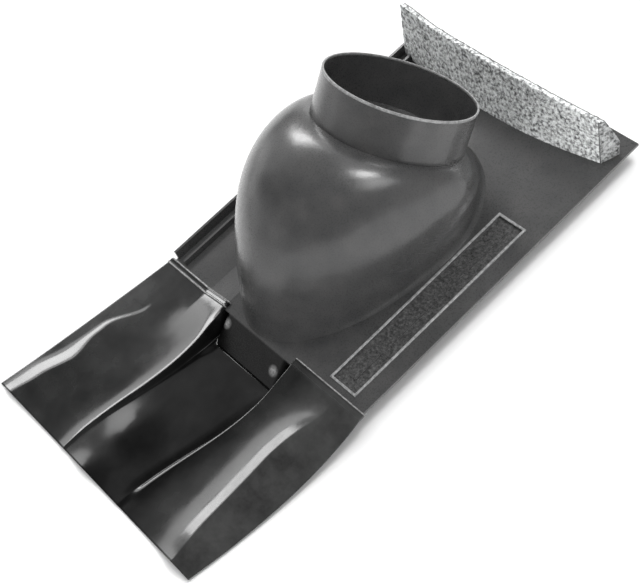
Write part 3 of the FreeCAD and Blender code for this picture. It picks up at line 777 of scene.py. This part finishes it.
def closed_strip(name, rings, material):
    """Mesh through closed rings of points, joined end to end."""
    count, size = len(rings), len(rings[0])
    faces = []
    for ring in range(count):
        for index in range(size):
            faces.append(quad(ring, (ring + 1) % count, size, index, (index + 1) % size))
    piece = add_mesh(name, [point for ring in rings for point in ring], faces, material)
    tidy_mesh(piece)
    return piece


def make_recess_bead(material):
    """Rounded bead round the recess, worn and with a painted highlight, over the plain one of the moulding.
    """
    left, right = RECESS[0] - BEAD / 2, RECESS[1] + BEAD / 2
    front, back = RECESS[2] - BEAD / 2, RECESS[3] + BEAD / 2
    section = rounded_bar(BEAD / 2 + 0.2, low=DECK - 0.4, high=DECK + 1.5, radius=0.8)
    rings = []
    corners = [(left, front, -1, -1), (right, front, 1, -1), (right, back, 1, 1), (left, back, -1, 1)]
    for x, y, side, end in corners:
        rings.append([row_point(x + side * across, y + end * across, level) for across, level in section])
    return closed_strip("recess_bead", rings, material)


def make_collar_lip(material, count=160):
    """Thin rounded lip over the open end of the collar."""
    tilt = math.radians(COLLAR_TILT)
    axis = Vector((0.0, math.sin(tilt), math.cos(tilt)))
    down = Vector((0.0, math.cos(tilt), -math.sin(tilt)))
    section = rounded_bar(COLLAR_WALL / 2 + 0.15, low=-2.5, high=0.25, radius=0.9)
    rings = []
    for index in range(count):
        turn = 2 * math.pi * index / count
        outward = Vector((math.cos(turn), 0.0, 0.0)) + down * math.sin(turn)
        ring = []
        for across, level in section:
            point = Vector(RIM_CENTRE) + outward * (COLLAR_RADIUS + COLLAR_WALL / 2 + across) + axis * level
            ring.append(row_point(*point))
        rings.append(ring)
    return closed_strip("collar_lip", rings, material)


def dress_nodes(material):
    """Give the moulded tile its own finish."""
    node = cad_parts["tile_shell"]
    for slot in node.material_slots:
        slot.material = material


def direction(azimuth, elevation):
    """Unit vector towards a place, azimuth from +Y towards +X, in degrees."""
    turn, rise = math.radians(azimuth), math.radians(elevation)
    return Vector((math.sin(turn) * math.cos(rise), math.cos(turn) * math.cos(rise), math.sin(rise)))


def add_softbox(name, azimuth, elevation, size, power, distance=SOFTBOX_DISTANCE):
    """Square lamp that faces the part."""
    lamp = bpy.data.lights.new(name, "AREA")
    lamp.shape = "RECTANGLE"
    lamp.size, lamp.size_y = size
    lamp.energy = power
    item = bpy.data.objects.new(name, lamp)
    item.location = AIM + direction(azimuth, elevation) * distance
    item.rotation_euler = (AIM - item.location).to_track_quat("-Z", "Y").to_euler()
    bpy.context.scene.collection.objects.link(item)
    return item


def add_fill(name, azimuth, elevation, size, power):
    """Wide lamp that brightens the matt side of things and leaves no highlight."""
    lamp = add_softbox(name, azimuth, elevation, size, power, FILL_DISTANCE)
    lamp.visible_glossy = False


def keep_light(lamp, piece):
    """Let a lamp shine on one piece only."""
    group = bpy.data.collections.new(lamp.name + "_pieces")
    group.objects.link(piece)
    lamp.light_linking.receiver_collection = group


def add_floor():
    """Plain pale floor."""
    material = new_material("pale_floor", (0.86, 0.86, 0.86), 0.9)[0]
    mesh = bpy.data.meshes.new("floor")
    half = 12.0
    level = -0.0004
    corners = [(-half, -half, level), (half, -half, level), (half, half, level), (-half, half, level)]
    mesh.from_pydata(corners, [], [(0, 1, 2, 3)])
    floor = bpy.data.objects.new("floor", mesh)
    mesh.materials.append(material)
    bpy.context.scene.collection.objects.link(floor)


def patch(tree, space, azimuth, elevation, inner, outer, level):
    """Soft round patch of light of so much level, full inside one angle and gone outside another."""
    toward = tree.nodes.new("ShaderNodeVectorMath")
    toward.operation = "DOT_PRODUCT"
    toward.inputs[1].default_value = direction(azimuth, elevation)
    tree.links.new(space, toward.inputs[0])
    node = tree.nodes.new("ShaderNodeMapRange")
    node.interpolation_type = "SMOOTHSTEP"
    node.inputs["From Min"].default_value = math.cos(math.radians(outer))
    node.inputs["From Max"].default_value = math.cos(math.radians(inner))
    node.inputs["To Max"].default_value = level
    tree.links.new(toward.outputs["Value"], node.inputs["Value"])
    return node.outputs["Result"]


def light_world():
    """Dim even light from all round with soft round patches."""
    world = bpy.data.worlds.new("studio")
    bpy.context.scene.world = world
    world.use_nodes = True
    tree = world.node_tree
    background = tree.nodes["Background"]
    space = tree.nodes.new("ShaderNodeTexCoord").outputs["Generated"]
    ambient = tree.nodes.new("ShaderNodeValue")
    ambient.outputs["Value"].default_value = WORLD_LEVEL
    total = ambient.outputs["Value"]
    for place in WORLD_PATCHES:
        joined = tree.nodes.new("ShaderNodeMath")
        tree.links.new(total, joined.inputs[0])
        tree.links.new(patch(tree, space, *place), joined.inputs[1])
        total = joined.outputs["Value"]
    tree.links.new(total, background.inputs["Strength"])
    background.inputs["Color"].default_value = (1.0, 1.0, 1.0, 1.0)


def add_lights(apron):
    """World, two softboxes for the dome, two more for the apron alone, and three plain fills."""
    light_world()
    add_softbox("left_softbox", -55, 31, (0.66, 0.5), 13.0)
    add_softbox("top_softbox", 20, 60, (0.5, 0.5), 16.0)
    keep_light(add_softbox("low_strip", -84, 12.5, (1.5, 0.44), 19.0), apron)
    keep_light(add_softbox("glow_box", -96, 31, (0.9, 0.8), 9.0), apron)
    add_fill("right_fill", 100, 5, (1.4, 0.5), 24.0)
    add_fill("front_fill", 165, 5, (1.4, 0.5), 26.0)
    add_fill("top_fill", 0, 88, (2.0, 2.0), 37.0)


def add_camera():
    """Camera at the photograph's viewing angle."""
    camera_data = bpy.data.cameras.new("camera")
    camera_data.sensor_width = 36.0
    camera_data.lens = LENS
    camera = bpy.data.objects.new("camera", camera_data)
    camera.location = CAMERA_PLACE
    camera.rotation_euler = [math.radians(turn) for turn in CAMERA_TURNS]
    bpy.context.scene.collection.objects.link(camera)
    bpy.context.scene.camera = camera


moulded = moulded_material()
rubber = apron_material()
foam = foam_material("seal_foam", 1.0)
pale_highlight_and_wear = edge_material()
dress_nodes(moulded)
# The recess bead and the collar lip take the edge colour: wear with a painted highlight
make_recess_bead(pale_highlight_and_wear)
make_collar_lip(pale_highlight_and_wear)
apron_piece = make_apron(rubber)
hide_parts("flashing_apron")
# The foam's ends take a darker copy of its colour as painted shade
foam_piece = make_foam(foam, shade_material(), foam_material("shaded_foam_ends", 0.48))
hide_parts("foam_seal_strip")
add_floor()
add_lights(apron_piece)
add_camera()
bpy.context.scene.view_settings.view_transform = "Standard"
